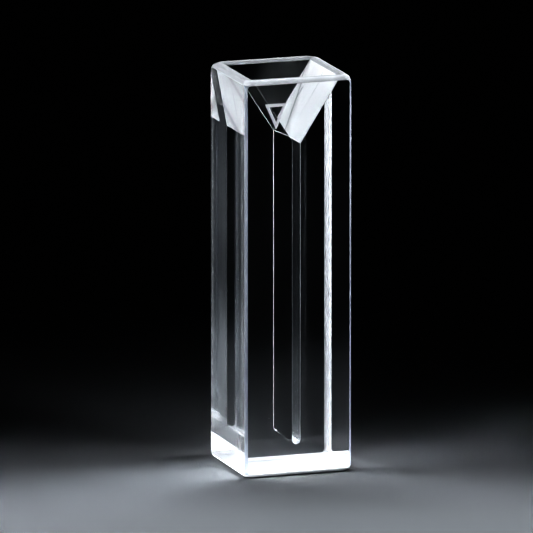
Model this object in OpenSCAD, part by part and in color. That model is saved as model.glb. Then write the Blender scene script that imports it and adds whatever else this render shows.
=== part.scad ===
// Semi-micro cuvette with a funnel top, in fused quartz.
// Five polished plates (two windows, two thick side blocks and a base block)
// are fused into one seamless piece. Between the side blocks is a narrow
// sample slot with a round bottom, 10 mm long on the light path, and above the
// slot the side blocks slope back to a wide mouth.
// Units: millimetres. +Z is up and Z = 0 is the base. The marked window faces -Y.

/* [Outer block] */
// Width across the two side faces (X)
body_w = 12.5; // [11.5:0.1:13.5]
// Depth across the two optical windows (Y)
body_d = 12.5; // [11.5:0.1:13.5]
// Overall height (Z)
body_h = 45; // [35:0.5:60]

/* [Windows and slot] */
// Thickness of the front and back windows
window_t = 1.25; // [1:0.05:1.5]
// Width of the sample slot between the side blocks
slot_w = 0.9; // [0.4:0.1:2]
// Height of the slot's round bottom above the base, at its lowest
floor_h = 3.4; // [1.2:0.1:6]
// Depth of the fine groove left where the side blocks meet the windows
joint = 0.045; // [0.03:0.005:0.12]

/* [Funnel mouth] */
// Width of the mouth where the slopes reach the top face
mouth_w = 10.4; // [6:0.1:10.4]
// Height of the two slopes, from the top face down to the slot
funnel_h = 7.35; // [3:0.05:12]
// Distance of the V's middle to the right of the slot's middle
funnel_shift = 0.1; // [0:0.05:0.2]
// Bevel round the inside of the mouth
mouth_bevel = 0.25; // [0.05:0.05:0.3]

/* [Ground edges] */
// Chamfer on the two upright edges beside the front window
front_edge = 0.25; // [0.1:0.05:0.6]
// Chamfer on the two upright edges beside the back window
back_edge = 0.4; // [0.1:0.05:0.6]
// Chamfer round the outside of the top face
top_edge = 0.5; // [0.1:0.05:0.6]
// Chamfer round the base
base_edge = 0.4; // [0.1:0.05:0.6]

/* [Orientation mark] */
// Width of the etched triangle, which points down
mark_w = 2.6; // [1.5:0.1:3.5]
// Height of the etched triangle
mark_h = 2.9; // [1.5:0.1:3.5]
// Width of its line
mark_line = 0.34; // [0.2:0.02:0.5]
// Depth of the etching
mark_depth = 0.05; // [0.02:0.01:0.1]
// Distance of its centre from the left side face
mark_x = 3.6; // [2.6:0.1:5]
// Distance of its centre below the top face
mark_z = 4.1; // [3:0.1:8]

/* [Hidden] */

half_w = body_w / 2;
half_d = body_d / 2;
slot_l = body_d - 2 * window_t;   // light path, window to window
slot_top = body_h - funnel_h;     // where the slopes meet the slot
slot_r = slot_w / 2;              // radius of the slot's round bottom
slope_run = (mouth_w - slot_w) / 2;
slope_tilt = atan(slope_run / funnel_h);   // lean of the slopes from upright
drop = funnel_shift * funnel_h / slope_run;   // the right slope ends this much lower, the left one higher
big = 4;                          // overshoot of the cutting shapes
eps = 0.02;                       // overlap that keeps cuts clean
$fn = 48;

// A section drawn in X and Z, carried along Y from y0 to y1.
module along_y(y0, y1, pts) {
  translate([0, y1, 0]) rotate([90, 0, 0]) linear_extrude(height = y1 - y0) polygon(pts);
}

// A section drawn in Y and Z, carried along X from x0 to x1.
module along_x(x0, x1, pts) {
  translate([x0, 0, 0]) rotate([90, 0, 90]) linear_extrude(height = x1 - x0) polygon(pts);
}

// Half width w, with the top and base corners cut off, for side or end views.
function chamfered_profile(w) = [
  [-w, base_edge], [-w + base_edge, 0], [w - base_edge, 0], [w, base_edge],
  [w, body_h - top_edge], [w - top_edge, body_h], [-w + top_edge, body_h], [-w, body_h - top_edge]
];

// The outside: a square block whose upright, top and base edges are ground.
module outer_block() {
  intersection() {
    linear_extrude(height = body_h) polygon([
      [-half_w + front_edge, -half_d], [half_w - front_edge, -half_d],
      [half_w, -half_d + front_edge], [half_w, half_d - back_edge],
      [half_w - back_edge, half_d], [-half_w + back_edge, half_d],
      [-half_w, half_d - back_edge], [-half_w, -half_d + front_edge]
    ]);
    along_y(-half_d, half_d, chamfered_profile(half_w));
    along_x(-half_w, half_w, chamfered_profile(half_d));
  }
}

// The inside: the upright slot and the V above it, one section right through.
module slot_and_funnel() {
  rise = big / funnel_h;
  spread = mouth_w / 2 + slope_run * rise;
  along_y(-slot_l / 2, slot_l / 2, [
    [-slot_r, floor_h + slot_r], [slot_r, floor_h + slot_r], [slot_r, slot_top - drop],
    [funnel_shift + spread, body_h + big], [funnel_shift - spread, body_h + big],
    [-slot_r, slot_top + drop]
  ]);
  translate([0, 0, floor_h + slot_r]) rotate([90, 0, 0]) cylinder(h = slot_l, r = slot_r, center = true);
}

// Section of a joint's groove: the side block's corner is cut at 45 degrees.
// The window is at y = 0 and the block at x > 0.
groove = [[-eps, 0], [joint, 0], [-eps, -joint - eps]];

// The grooves on the right of the back window: up the slot to the height where
// the slope starts, and up the slope.
module grooves_of_one_side(start) {
  translate([slot_r, slot_l / 2, floor_h + slot_r])
    linear_extrude(height = start - floor_h - slot_r) polygon(groove);
  translate([slot_r, slot_l / 2, start]) rotate([0, slope_tilt, 0])
    translate([0, 0, -0.3 * joint])
      linear_extrude(height = (body_h - start) / cos(slope_tilt) + 1) polygon(groove);
}

// All the grooves, with a cone round the slot's bottom at each window.
module joint_grooves() {
  for (m = [0, 1], n = [0, 1])
    mirror([m, 0, 0]) mirror([0, n, 0]) grooves_of_one_side(slot_top + (2 * m - 1) * drop);
  for (n = [0, 1]) mirror([0, n, 0])
    translate([0, slot_l / 2, floor_h + slot_r]) rotate([90, 0, 0])
      cylinder(h = joint + eps, r1 = slot_r + joint, r2 = slot_r - eps);
}

// A 45 degree bevel round the mouth, mitred at its four corners.
module mouth_cut() {
  // half widths of the opening where the bevel starts
  ax = mouth_w / 2 - mouth_bevel * (mouth_w - slot_w) / 2 / funnel_h;
  ay = slot_l / 2;
  b = mouth_bevel;
  intersection() {
    translate([funnel_shift, 0, 0]) along_y(-half_d, half_d, [
      [-ax, body_h - b], [ax, body_h - b], [ax + 2 * b, body_h + b], [-ax - 2 * b, body_h + b]
    ]);
    along_x(-half_w, half_w, [
      [-ay, body_h - b], [ay, body_h - b], [ay + 2 * b, body_h + b], [-ay - 2 * b, body_h + b]
    ]);
  }
}

// Outline of the mark: a triangle with its point down, centred on its box.
function triangle(w, h) = [[-w / 2, h / 2], [0, -h / 2], [w / 2, h / 2]];

// The etched line is the ring between the triangle and a smaller one that
// lies the line's width inside each of its sides.
module orientation_mark() {
  side = sqrt(mark_w * mark_w / 4 + mark_h * mark_h);
  inset = mark_w * mark_h / (mark_w + 2 * side);        // radius of the inscribed circle
  k = 1 - mark_line / inset;                            // size of the inner triangle
  drop = (mark_h / 2 - inset) * (1 - k);                // keeps the two concentric
  translate([-half_w + mark_x, -half_d + mark_depth, body_h - mark_z])
    rotate([90, 0, 0])
      linear_extrude(height = mark_depth + 1)
        difference() {
          polygon(triangle(mark_w, mark_h));
          translate([0, drop]) polygon(triangle(mark_w * k, mark_h * k));
        }
}

// The whole cell, one solid.
module glass_cell() {
  color([0.86, 0.91, 0.93, 0.45])
    difference() {
      outer_block();
      slot_and_funnel();
      joint_grooves();
      mouth_cut();
      orientation_mark();
    }
}

glass_cell();
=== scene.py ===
import math
import bpy
import bmesh
from mathutils import Vector, Matrix


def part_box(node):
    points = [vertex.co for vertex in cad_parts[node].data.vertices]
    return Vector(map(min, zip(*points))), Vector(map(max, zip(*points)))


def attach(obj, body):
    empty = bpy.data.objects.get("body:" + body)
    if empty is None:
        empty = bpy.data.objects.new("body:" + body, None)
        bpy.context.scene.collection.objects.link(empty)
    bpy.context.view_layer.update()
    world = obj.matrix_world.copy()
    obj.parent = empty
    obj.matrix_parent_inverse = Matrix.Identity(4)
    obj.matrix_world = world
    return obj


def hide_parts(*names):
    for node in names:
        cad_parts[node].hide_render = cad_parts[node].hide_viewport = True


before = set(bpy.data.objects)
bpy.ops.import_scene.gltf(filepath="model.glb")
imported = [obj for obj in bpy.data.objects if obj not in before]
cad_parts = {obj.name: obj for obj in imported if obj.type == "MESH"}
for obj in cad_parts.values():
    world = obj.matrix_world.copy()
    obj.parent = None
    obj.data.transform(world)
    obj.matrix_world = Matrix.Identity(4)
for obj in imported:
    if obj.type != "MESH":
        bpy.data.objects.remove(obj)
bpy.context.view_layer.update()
scene = bpy.context.scene
MM = 0.001

# ---------------------------------------------------------------- sizes, mm
lo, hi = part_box("glass_cell")
HW = (hi.x - lo.x) / 2 / MM          # half width
HD = (hi.y - lo.y) / 2 / MM          # half depth
H = (hi.z - lo.z) / MM               # height
WIN, SLOT, FLOOR = 1.25, 0.9, 3.4     # FLOOR is the lowest point of the round bottom
MOUTH, FUN, BEV = 10.4, 7.35, 0.25
SHIFT = 0.1                            # the V sits this far right of the slot
FE, BE, TE, BASE = 0.25, 0.4, 0.5, 0.4
JOINT = 0.045                        # groove left along the fused joints
SOFT, TURN = 0.045, 0.38             # softened edge of a chamfer, turn of a face's corner
SEAMS = (4.95, 5.20)                 # where the windows' fused edges show on the side faces
MARK_W, MARK_H, MARK_L, MARK_D, MARK_X, MARK_Z = 2.6, 2.9, 0.34, 0.05, 3.6, 4.1

POLISHED, GROUND, FINE, SLOPE, ETCHED, BEAD, FOOT, FINE_BACK, TROUGH, PLATE, SEAM, SHADED_RIM = range(12)

# ---------------------------------------------------------------- mesh
# One closed surface. The six polished faces stay exactly flat; only the
# ground edges between them wander by a few hundredths of a millimetre.
bm = bmesh.new()


def vert(x, y, z):
    return bm.verts.new((x * MM, y * MM, z * MM))


def face(vs, mat):
    f = bm.faces.new(vs)
    f.material_index = mat
    return f


def wave(t, seed):
    return (math.sin(1.3 * t + seed) + 0.6 * math.sin(2.9 * t + 2.3 * seed)
            + 0.5 * math.sin(7.1 * t + 4.1 * seed)) / 2.1


# corners anticlockwise from above: sign of x, sign of y, way in, way out, chamfer
CORNERS = (
    (1, -1, (1, 0), (0, 1), FE), (1, 1, (0, 1), (-1, 0), BE),
    (-1, 1, (-1, 0), (0, -1), BE), (-1, -1, (0, -1), (1, 0), FE))


def outer_loop(z, inset, grow, ragged):
    """16 points: each corner is a soft edge, the flat of the chamfer and a soft edge."""
    out = []
    w, d = HW - inset, HD - inset
    for c, (sx, sy, u, v, f0) in enumerate(CORNERS):
        f1 = f0 + grow + ragged * 0.004 * wave(z, 1.0 + 3 * c)
        f2 = f0 + grow + ragged * 0.004 * wave(z, 2.0 + 5 * c)
        s = SOFT
        px, py = sx * w, sy * d
        r = s / math.sqrt(2)
        e = (u[0] + v[0], u[1] + v[1])
        out.append(vert(px - u[0] * (f1 + s), py - u[1] * (f1 + s), z))
        out.append(vert(px - u[0] * f1 + e[0] * r, py - u[1] * f1 + e[1] * r, z))
        out.append(vert(px + v[0] * f2 - e[0] * r, py + v[1] * f2 - e[1] * r, z))
        out.append(vert(px + v[0] * (f2 + s), py + v[1] * (f2 + s), z))
    return out


def inner_loop(right, left, b, cut, groove):
    """8 points: a rectangle between the (X, Z) of its left and right sides, of
    half depth b. Its corners are cut, or the side walls' corners are cut back
    so that a groove runs along each window."""
    out = []
    g = -1 if groove else 1
    for sx, sy, u, v, _ in CORNERS:
        x, z = right if sx > 0 else left
        out.append(vert(x - g * u[0] * cut(z), sy * b - u[1] * cut(z), z))
        out.append(vert(x + g * v[0] * cut(z), sy * b + v[1] * cut(z), z))
    return out


def steps(a, b, n):
    return [a + (b - a) * i / n for i in range(n + 1)]


ARC = (0.0, 15.0, 30.0, 45.0, 60.0, 75.0, 90.0)
# the walls, from the base edge up to the top edge
wall = []
for t in ARC[::-1]:                                  # the faces' lower corners turn
    t = math.radians(t)
    wall.append(outer_loop(BASE + TURN * (1 - math.sin(t)), 0, TURN * (1 - math.cos(t)), 0))
for z in steps(BASE + TURN, H - TE - TURN, 44)[1:-1]:
    wall.append(outer_loop(z, 0, 0, 1))
for t in ARC:
    t = math.radians(t)
    wall.append(outer_loop(H - TE - TURN * (1 - math.sin(t)), 0, TURN * (1 - math.cos(t)), 0))
# the rounded top and base edges
below, above = [wall[0]], [wall[-1]]
for t in ARC[1:]:
    t = math.radians(t)
    below.append(outer_loop(BASE * (1 - math.sin(t)), BASE * (1 - math.cos(t)), TURN + 0.12 * (1 - math.cos(t)), 0))
    above.append(outer_loop(H - TE * (1 - math.sin(t)), TE * (1 - math.cos(t)), TURN + 0.12 * (1 - math.cos(t)), 0))
for A, B in zip(wall, wall[1:]):
    for c in range(4):
        for k in range(3):
            i = 4 * c + k
            face([A[i], A[i + 1], B[i + 1], B[i]], FINE_BACK if c in (1, 2) else FINE).smooth = True
# On the two side faces the ends of the window plates show beside the blocks.
# These strips lie in one plane; cuts holds where they end on the first and last loop.
cuts = {}
for sx, i in ((1, 3), (-1, 11)):
    ys = [-sx * SEAMS[1], -sx * SEAMS[0], sx * SEAMS[0], sx * SEAMS[1]]      # in the loop's own order
    cuts[i] = [[vert(sx * HW, y, z) for y in ys] for z in (BASE, H - TE)]
for chain, mat, row in ((below, FOOT, 0), (above, GROUND, 1)):
    for A, B in zip(chain, chain[1:]):
        for i in range(16):
            j = (i + 1) % 16
            extra = cuts[i][row] if i in cuts and A is chain[0] else []
            painted_shade_edge = mat == GROUND and 4 <= i <= 11            # the back and left edges take the darker rim copy: painted shade
            face([A[i], *extra, A[j], B[j], B[i]], SHADED_RIM if painted_shade_edge else mat).smooth = True
face(list(reversed(below[-1])), FOOT)
face([L[8] for L in wall] + [L[7] for L in reversed(wall)], POLISHED)        # the back face
for i in cuts:
    low, high = cuts[i]
    face([L[i] for L in wall] + [high[0], low[0]], PLATE)
    for k, mat in ((0, SEAM), (1, POLISHED), (2, SEAM)):
        face([low[k], high[k], high[k + 1], low[k + 1]], mat)
    face([L[i + 1] for L in wall] + [high[3], low[3]], PLATE)
front_loop = [L[0] for L in wall] + [L[15] for L in reversed(wall)]

# the inside
ax = MOUTH / 2 - BEV * (MOUTH - SLOT) / 2 / FUN
ay = HD - WIN


zc = FLOOR + SLOT / 2                                # centre of the round bottom
drop = SHIFT * FUN / ((MOUTH - SLOT) / 2)            # the right slope ends lower, the left one higher


def cut_at(z):
    return JOINT * (1 + 0.1 * wave(1.7 * z, 0.7)) if z > zc + 0.01 else JOINT


def between(low, high, t):
    return low[0] + (high[0] - low[0]) * t, low[1] + (high[1] - low[1]) * t


lip = inner_loop((SHIFT + ax + BEV, H), (SHIFT - ax - BEV, H), ay + BEV, lambda z: JOINT, False)
start_r, start_l = (SLOT / 2, H - FUN - drop), (-SLOT / 2, H - FUN + drop)
funnel = [inner_loop(between(start_r, (SHIFT + ax, H - BEV), t), between(start_l, (SHIFT - ax, H - BEV), t), ay, cut_at, True)
          for t in steps(1, 0, 12)]
slot = [funnel[-1]] + [inner_loop(between(start_r, (SLOT / 2, zc), t), between(start_l, (-SLOT / 2, zc), t), ay, cut_at, True)
                       for t in steps(0, 1, 34)[1:]]


def arc_row(r, y):
    """Points of the round bottom from the right wall to the left, ends left out."""
    return [vert(r * math.cos(t), y, zc - r * math.sin(t))
            for t in (math.pi * i / ROUND for i in range(1, ROUND))]


ROUND = 32
end = slot[-1]                                       # 0, 7 front window; 1, 2 right; 3, 4 back; 5, 6 left
rows = [[end[0], *arc_row(SLOT / 2 + JOINT, -ay), end[7]], [end[1], *arc_row(SLOT / 2, -ay + JOINT), end[6]],
        [end[2], *arc_row(SLOT / 2, ay - JOINT), end[5]], [end[3], *arc_row(SLOT / 2 + JOINT, ay), end[4]]]
for k, mat in ((0, BEAD), (1, TROUGH), (2, BEAD)):
    for i in range(ROUND):
        face([rows[k][i], rows[k + 1][i], rows[k + 1][i + 1], rows[k][i + 1]], mat).smooth = True

top_loop = above[-1]
for c in range(4):                                   # the top land
    n = (c + 1) % 4
    face([top_loop[4 * c + 3], top_loop[4 * n], lip[2 * n], lip[2 * c + 1]], SHADED_RIM)
    face([top_loop[4 * c], top_loop[4 * c + 1], top_loop[4 * c + 2], top_loop[4 * c + 3],
          lip[2 * c + 1], lip[2 * c]], SHADED_RIM)
for i in range(8):                                   # the bevel round the mouth
    j = (i + 1) % 8
    face([lip[i], lip[j], funnel[0][j], funnel[0][i]], SHADED_RIM)
for chain, walls in ((funnel, SLOPE), (slot, POLISHED)):
    for c in range(4):
        n = (c + 1) % 4
        under = []                                   # a window ends in the round bottom's arc
        if chain is slot and c == 1:
            under = rows[3][-2:0:-1]
        elif chain is slot and c == 3:
            under = rows[0][1:-1]
        face([L[2 * n] for L in chain] + under + [L[2 * c + 1] for L in reversed(chain)],
             walls if c in (0, 2) else POLISHED)
    for A, B in zip(chain, chain[1:]):
        for c in range(4):
            face([A[2 * c], A[2 * c + 1], B[2 * c + 1], B[2 * c]], BEAD)


# the orientation mark, a triangular line etched into the front face
def tri(w, h, drop, y):
    cx, cz = -HW + MARK_X, H - MARK_Z
    return [vert(cx + x, y, cz + drop + z) for x, z in ((-w / 2, h / 2), (0, -h / 2), (w / 2, h / 2))]


side = math.hypot(MARK_W / 2, MARK_H)
inset = MARK_W * MARK_H / (MARK_W + 2 * side)
k = 1 - MARK_L / inset
drop = (MARK_H / 2 - inset) * (1 - k)
ta0, tb0 = tri(MARK_W, MARK_H, 0, -HD), tri(MARK_W * k, MARK_H * k, drop, -HD)
ta1, tb1 = tri(MARK_W, MARK_H, 0, -HD + MARK_D), tri(MARK_W * k, MARK_H * k, drop, -HD + MARK_D)


def loop_edges(vs):
    out = []
    for i in range(len(vs)):
        a, b = vs[i], vs[(i + 1) % len(vs)]
        out.append(bm.edges.get((a, b)) or bm.edges.new((a, b)))
    return out


edges = loop_edges(front_loop) + loop_edges(ta0) + loop_edges(tb0)
res = bmesh.ops.triangle_fill(bm, use_beauty=True, use_dissolve=False, edges=edges, normal=(0, -1, 0))
for f in [g for g in res["geom"] if isinstance(g, bmesh.types.BMFace)]:
    f.material_index = POLISHED
for i in range(3):
    j = (i + 1) % 3
    face([ta0[i], ta0[j], ta1[j], ta1[i]], ETCHED)
    face([tb0[j], tb0[i], tb1[i], tb1[j]], ETCHED)
    face([ta1[i], ta1[j], tb1[j], tb1[i]], ETCHED)
bmesh.ops.recalc_face_normals(bm, faces=bm.faces)
bad = [e for e in bm.edges if not e.is_manifold]
print("non-manifold edges", len(bad), "volume mm3", round(bm.calc_volume() * 1e9, 1), "faces", len(bm.faces))
me = bpy.data.meshes.new("quartz_cell")
bm.to_mesh(me)
bm.free()
cell = bpy.data.objects.new("quartz_cell", me)
scene.collection.objects.link(cell)


# ---------------------------------------------------------------- materials
def new_mat(name):
    m = bpy.data.materials.new(name)
    m.use_nodes = True
    nt = m.node_tree
    return m, nt, nt.nodes["Principled BSDF"]


def grain(nt, scale, stretch=(1, 1, 1), turn=0.0, detail=3.0, sharp=0.55):
    """Noise in the object's millimetres. A stretch over 1 makes the grain finer
    along that axis; turn leans it round Y, in degrees."""
    tc = nt.nodes.new("ShaderNodeTexCoord")
    lean = nt.nodes.new("ShaderNodeMapping")
    lean.inputs["Rotation"].default_value = (0, math.radians(turn), 0)
    mp = nt.nodes.new("ShaderNodeMapping")
    mp.inputs["Scale"].default_value = [1000 * v for v in stretch]
    nz = nt.nodes.new("ShaderNodeTexNoise")
    nz.inputs["Scale"].default_value = scale
    nz.inputs["Detail"].default_value = detail
    nz.inputs["Roughness"].default_value = sharp
    nt.links.new(tc.outputs["Object"], lean.inputs["Vector"])
    nt.links.new(lean.outputs["Vector"], mp.inputs["Vector"])
    nt.links.new(mp.outputs["Vector"], nz.inputs["Vector"])
    return nz.outputs[0]


def span(nt, src, lo, hi, a=0.3, b=0.7):
    """src from a..b to lo..hi, held at both ends."""
    n = nt.nodes.new("ShaderNodeMapRange")
    n.clamp = True
    n.inputs["From Min"].default_value, n.inputs["From Max"].default_value = a, b
    n.inputs["To Min"].default_value, n.inputs["To Max"].default_value = lo, hi
    nt.links.new(src, n.inputs["Value"])
    return n.outputs["Result"]


def calc(nt, op, x, y):
    n = nt.nodes.new("ShaderNodeMath")
    n.operation = op
    for i, v in enumerate((x, y)):
        if isinstance(v, (int, float)):
            n.inputs[i].default_value = v
        else:
            nt.links.new(v, n.inputs[i])
    return n.outputs[0]


def tint(nt, p, src, dark, light, a=0.3, b=0.7):
    n = nt.nodes.new("ShaderNodeValToRGB")
    n.color_ramp.elements[0].position, n.color_ramp.elements[1].position = a, b
    n.color_ramp.elements[0].color, n.color_ramp.elements[1].color = (*dark, 1), (*light, 1)
    nt.links.new(src, n.inputs["Fac"])
    nt.links.new(n.outputs["Color"], p.inputs["Base Color"])


def relief(nt, p, height, depth_mm, strength=1.0):
    n = nt.nodes.new("ShaderNodeBump")
    n.inputs["Strength"].default_value = strength
    n.inputs["Distance"].default_value = depth_mm * MM
    nt.links.new(height, n.inputs["Height"])
    nt.links.new(n.outputs["Normal"], p.inputs["Normal"])


def quartz_base(name, transmission):
    m, nt, p = new_mat(name)
    p.inputs["IOR"].default_value = 1.458
    p.inputs["Transmission Weight"].default_value = transmission
    return m, nt, p


# polished windows and sides: clear, with a breath of haze and fine polishing sleeks
polished, nt, p = quartz_base("polished_quartz", 0.998)
sleeks = grain(nt, 1.0, (3.0, 3.0, 0.25), 12.0, 2.0)
haze = grain(nt, 0.12, detail=4.0)
nt.links.new(calc(nt, "ADD", span(nt, sleeks, 0.0, 0.012, 0.5, 0.75), span(nt, haze, 0.0, 0.012, 0.45, 0.7)),
             p.inputs["Roughness"])
tint(nt, p, haze, (0.96, 0.985, 1.0), (0.975, 0.99, 1.0))
relief(nt, p, sleeks, 0.00002)


# the windows' edges on the side faces: ground flush with the blocks after fusing,
# so they keep a faint bloom, which gathers along the seams themselves
blooms = []
for name, clear in (("window_edge_quartz", 0.975), ("fused_seam", 0.87)):
    m, nt, p = quartz_base(name, clear)
    bloom, cloud = grain(nt, 1.0, (5.0, 5.0, 0.35), detail=3.0), grain(nt, 0.6, detail=3.0)
    nt.links.new(span(nt, bloom, 0.01, 0.06), p.inputs["Roughness"])
    tint(nt, p, cloud, (0.90, 0.91, 0.93), (0.98, 0.985, 0.99))
    relief(nt, p, bloom, 0.00005)
    blooms.append(m)

def ground_finish(name, transmission, low, high):
    """Ground with coarse grit: an even white with a grainy tooth."""
    m, nt, p = quartz_base(name, transmission)
    grit, cloud = grain(nt, 9.0, detail=4.0, sharp=0.65), grain(nt, 0.9, detail=3.0)
    nt.links.new(span(nt, grit, 0.82, 0.94), p.inputs["Roughness"])
    p.inputs["Specular IOR Level"].default_value = 0.2
    tint(nt, p, calc(nt, "ADD", calc(nt, "MULTIPLY", grit, 0.45), calc(nt, "MULTIPLY", cloud, 0.55)),
         low, high, 0.36, 0.64)
    relief(nt, p, grit, 0.006)
    return m


# top edges except at the back and left; a darker copy of the same finish, painted shade, on the flat rim, the mouth
# bevel and the back and left top edges; and the base, which is ground deeper
ground = ground_finish("ground_quartz", 0.35, (0.58, 0.593, 0.608), (0.655, 0.665, 0.68))
shaded_rim_finish = ground_finish("ground_rim_painted_shade", 0.35, (0.39, 0.398, 0.408), (0.44, 0.447, 0.457))
foot = ground_finish("ground_base", 0.0, (0.97, 0.975, 0.98), (0.995, 0.997, 1.0))

def drawn_finish(name, transmission, low, high, depth):
    """Drawn along the edge over a fine wheel, so that the grain runs with Z."""
    m, nt, p = quartz_base(name, transmission)
    drawn, grit = grain(nt, 1.0, (12.0, 12.0, 0.6), detail=3.0), grain(nt, 11.0, detail=3.0, sharp=0.6)
    nt.links.new(span(nt, drawn, 0.53, 0.59), p.inputs["Roughness"])
    tint(nt, p, calc(nt, "ADD", calc(nt, "MULTIPLY", drawn, 0.6), calc(nt, "MULTIPLY", grit, 0.4)),
         low, high, 0.38, 0.62)
    relief(nt, p, calc(nt, "ADD", drawn, calc(nt, "MULTIPLY", grit, 0.5)), depth)
    return m


# upright chamfers: the narrow front ones are nearly clear, the back ones whiter
fine = drawn_finish("fine_ground_quartz", 0.9, (0.49, 0.55, 0.68), (0.56, 0.615, 0.73), 0.0006)
fine_back = drawn_finish("ground_back_edges", 0.65, (0.63, 0.645, 0.66), (0.67, 0.68, 0.695), 0.0002)

# the V's two slopes: smoothed but not polished, with fine streaks down the slope.
# Like any finely ground face they turn mirror-like where the view grazes them.
slope, nt, p = quartz_base("slope_quartz", 0.9)
lean = math.degrees(math.atan((MOUTH - SLOT) / 2 / FUN))
down_r, down_l = grain(nt, 1.0, (0.9, 3.6, 0.12), -lean, 3.0, 0.6), grain(nt, 1.0, (0.9, 3.6, 0.12), lean, 3.0, 0.6)
tc, sep = nt.nodes.new("ShaderNodeTexCoord"), nt.nodes.new("ShaderNodeSeparateXYZ")
nt.links.new(tc.outputs["Object"], sep.inputs["Vector"])
on_right = calc(nt, "GREATER_THAN", sep.outputs["X"], 0.0)


def by_side(nt, left, right):
    mixer = nt.nodes.new("ShaderNodeMix")
    nt.links.new(on_right, mixer.inputs["Factor"])
    nt.links.new(left, mixer.inputs["A"])
    nt.links.new(right, mixer.inputs["B"])
    return mixer.outputs["Result"]


def across(nt, start, rise):
    """How far a point lies from a line drawn across the slope, in mm of Y."""
    return calc(nt, "ADD", calc(nt, "MULTIPLY", sep.outputs["Y"], 1000.0),
                calc(nt, "SUBTRACT", start, calc(nt, "MULTIPLY", sep.outputs["Z"], 1000.0 * rise)))


streak = by_side(nt, down_l, down_r)
layer = nt.nodes.new("ShaderNodeLayerWeight")
layer.inputs["Blend"].default_value = 0.5
steep = span(nt, layer.outputs["Facing"], 1.0, 0.06, 0.80, 0.88)
# a painted dark line crosses the right slope from its back corner at the rim,
# with painted shade on the slope behind it. Two fainter painted dark lines
# cross the left slope, which is also rougher along them.
off = across(nt, 24.58, 0.673)
painted_shade_behind_line = span(nt, off, 1.0, 0.88, -0.1, 0.15)
line = span(nt, calc(nt, "ABSOLUTE", off, 0.0), 0.30, 1.0, 0.05, 0.24)
high_line = span(nt, calc(nt, "ABSOLUTE", across(nt, 86.72, 1.976), 0.0), 0.55, 1.0, 0.25, 1.2)
low_line = span(nt, calc(nt, "ABSOLUTE", across(nt, 60.4, 1.62), 0.0), 0.60, 1.0, 0.25, 1.2)
left_lines = calc(nt, "MULTIPLY", high_line, low_line)
# painted shade: the dark lines, and the shade behind the right one, darken the slopes' colour
painted_slope_shade = by_side(nt, left_lines, calc(nt, "MULTIPLY", painted_shade_behind_line, line))
coarser = by_side(nt, span(nt, left_lines, 3.2, 1.0, 0.55, 1.0), calc(nt, "MAXIMUM", on_right, 1.0))
rough = calc(nt, "MULTIPLY", span(nt, streak, 0.27, 0.33), coarser)
nt.links.new(calc(nt, "MULTIPLY", rough, steep), p.inputs["Roughness"])
even = calc(nt, "ADD", calc(nt, "MULTIPLY", streak, 0.35), 0.51)
# painted shade: the left slope's colour is held at 0.6 of the right one's
painted_left_slope_shade = span(nt, on_right, 0.60, 1.0, 0.0, 1.0)
tint(nt, p, calc(nt, "MULTIPLY", calc(nt, "MULTIPLY", even, painted_left_slope_shade), painted_slope_shade),
     (0.02, 0.02, 0.02), (0.97, 0.955, 0.935), 0.0, 0.75)
relief(nt, p, streak, 0.0012)

# the slot's round bottom: fire-polished, a little wavy
trough, nt, p = quartz_base("slot_bottom", 1.0)
swell, grit = grain(nt, 1.6, detail=3.0), grain(nt, 8.0, detail=3.0)
nt.links.new(span(nt, grit, 0.10, 0.22), p.inputs["Roughness"])
tint(nt, p, swell, (0.50, 0.51, 0.525), (0.66, 0.67, 0.68))
relief(nt, p, swell, 0.004)

# the etched line of the mark: an even, chalky frost
etched, nt, p = quartz_base("etched_quartz", 0.05)
grit = grain(nt, 14.0, detail=4.0, sharp=0.65)
nt.links.new(span(nt, grit, 0.6, 0.85), p.inputs["Roughness"])
tint(nt, p, grit, (0.88, 0.90, 0.925), (0.98, 0.985, 0.99))
relief(nt, p, grit, 0.006)

# the fused joints: a fire-softened groove with tiny seeds along it
joint, nt, p = quartz_base("fused_joint", 0.85)
seeds = grain(nt, 1.0, (6.0, 6.0, 1.6), detail=4.0, sharp=0.6)
nt.links.new(span(nt, seeds, 0.42, 0.50), p.inputs["Roughness"])
tint(nt, p, seeds, (0.44, 0.455, 0.47), (0.62, 0.63, 0.645))
relief(nt, p, seeds, 0.004)

for m in (polished, ground, fine, slope, etched, joint, foot, fine_back, trough, *blooms, shaded_rim_finish):
    me.materials.append(m)
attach(cell, "root")
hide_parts("glass_cell")

# ---------------------------------------------------------------- stage
fm, nt, p = new_mat("pale_floor")
soft = grain(nt, 0.02, detail=3.0)
tint(nt, p, soft, (0.335, 0.34, 0.345), (0.355, 0.36, 0.365))
nt.links.new(span(nt, soft, 0.85, 0.95), p.inputs["Roughness"])
p.inputs["Specular IOR Level"].default_value = 0.0
fme = bpy.data.meshes.new("floor")
S = 0.9
fme.from_pydata([(-S, -S, -0.00002), (S, -S, -0.00002), (S, S, -0.00002), (-S, S, -0.00002)], [], [(0, 1, 2, 3)])
fme.materials.append(fm)
floor = bpy.data.objects.new("floor", fme)
scene.collection.objects.link(floor)

world = bpy.data.worlds.new("dark_room")
scene.world = world
world.use_nodes = True
world.node_tree.nodes["Background"].inputs["Color"].default_value = (0.5, 0.55, 0.6, 1)
world.node_tree.nodes["Background"].inputs["Strength"].default_value = 0.004

only_cell = bpy.data.collections.new("lit_by_softboxes")
only_cell.objects.link(cell)


def area(name, loc, target, sx, sy, level, spread=180, col=(1, 1, 1), cell_only=True):
    """A softbox; level is the radiance of its face for a spread of 180."""
    d = bpy.data.lights.new(name, "AREA")
    d.shape, d.size, d.size_y, d.color = "RECTANGLE", sx, sy, col
    d.energy = level * math.pi * sx * sy
    d.spread = math.radians(spread)
    o = bpy.data.objects.new(name, d)
    o.location = loc
    o.rotation_mode = "QUATERNION"
    o.rotation_quaternion = (Vector(target) - Vector(loc)).to_track_quat("-Z", "Y")
    o.visible_camera = False
    scene.collection.objects.link(o)
    if cell_only:
        o.light_linking.receiver_collection = only_cell
    return o


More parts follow.
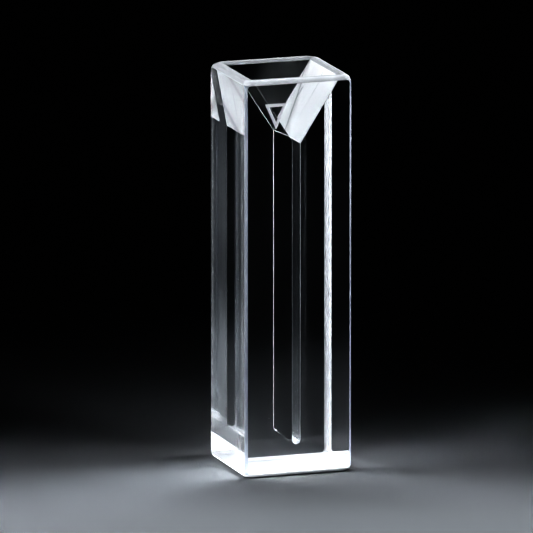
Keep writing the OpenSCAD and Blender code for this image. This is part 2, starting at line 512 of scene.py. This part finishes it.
mid = (0, 0, 0.02)
COOL = (0.965, 0.995, 1.04)
area("soft_right", (0.24, 0.12, 0.22), mid, 0.30, 0.28, 6.4, col=COOL)
area("soft_right_back", (0.30, 0.10, 0.20), mid, 0.20, 0.20, 2.4, col=COOL)
area("soft_left", (-0.30, 0.0, 0.08), mid, 0.30, 0.14, 9.4, col=COOL)
area("soft_front", (0.0, -0.30, 0.30), mid, 0.30, 0.20, 2.3, col=COOL)
area("strip_back", (0, 0.22, 0.03), mid, 0.40, 0.05, 1.4, col=COOL)
area("soft_back", (-0.10, 0.26, 0.06), mid, 0.12, 0.10, 1.6, col=COOL)
# the floor's own light: a long narrow softbox over the floor in front of the cell, square to the camera
PALE = (0.95, 1.0, 1.06)
pool = area("floor_pool", (-0.0105, -0.0305, 0.10), (-0.0105, -0.0305, 0), 0.18, 0.02, 1.12, 40, PALE, cell_only=False)
pool.rotation_mode = "XYZ"
pool.rotation_euler = (0, 0, math.radians(-18.7))
area("floor_fill", (0.047, -0.13, 0.16), (0.047, -0.13, 0), 0.06, 0.06, 0.95, 70, PALE, cell_only=False)

# ---------------------------------------------------------------- camera
az, pitch, f_px = math.radians(18.6971), math.radians(12.1396), 14238.016
cam_data = bpy.data.cameras.new("camera")
cam_data.sensor_width = 36.0
cam_data.lens = f_px / 533 * 36.0
cam_data.clip_start, cam_data.clip_end = 0.01, 10
cam = bpy.data.objects.new("camera", cam_data)
fwd = Vector((math.sin(az) * math.cos(pitch), math.cos(az) * math.cos(pitch), -math.sin(pitch)))
right = Vector((math.cos(az), -math.sin(az), 0))
up = right.cross(fwd)
rot = Matrix((right, up, -fwd)).transposed().to_4x4()
cam.matrix_world = Matrix.Translation(Vector((-498.731834, -1468.784482, 356.131826)) * MM) @ rot
scene.collection.objects.link(cam)
scene.camera = cam

scene.view_settings.view_transform = "Standard"
scene.view_settings.look = "Very High Contrast"
scene.cycles.max_bounces = 40
scene.cycles.glossy_bounces = 40
scene.cycles.transmission_bounces = 40
scene.cycles.diffuse_bounces = 4
scene.cycles.blur_glossy = 0.0
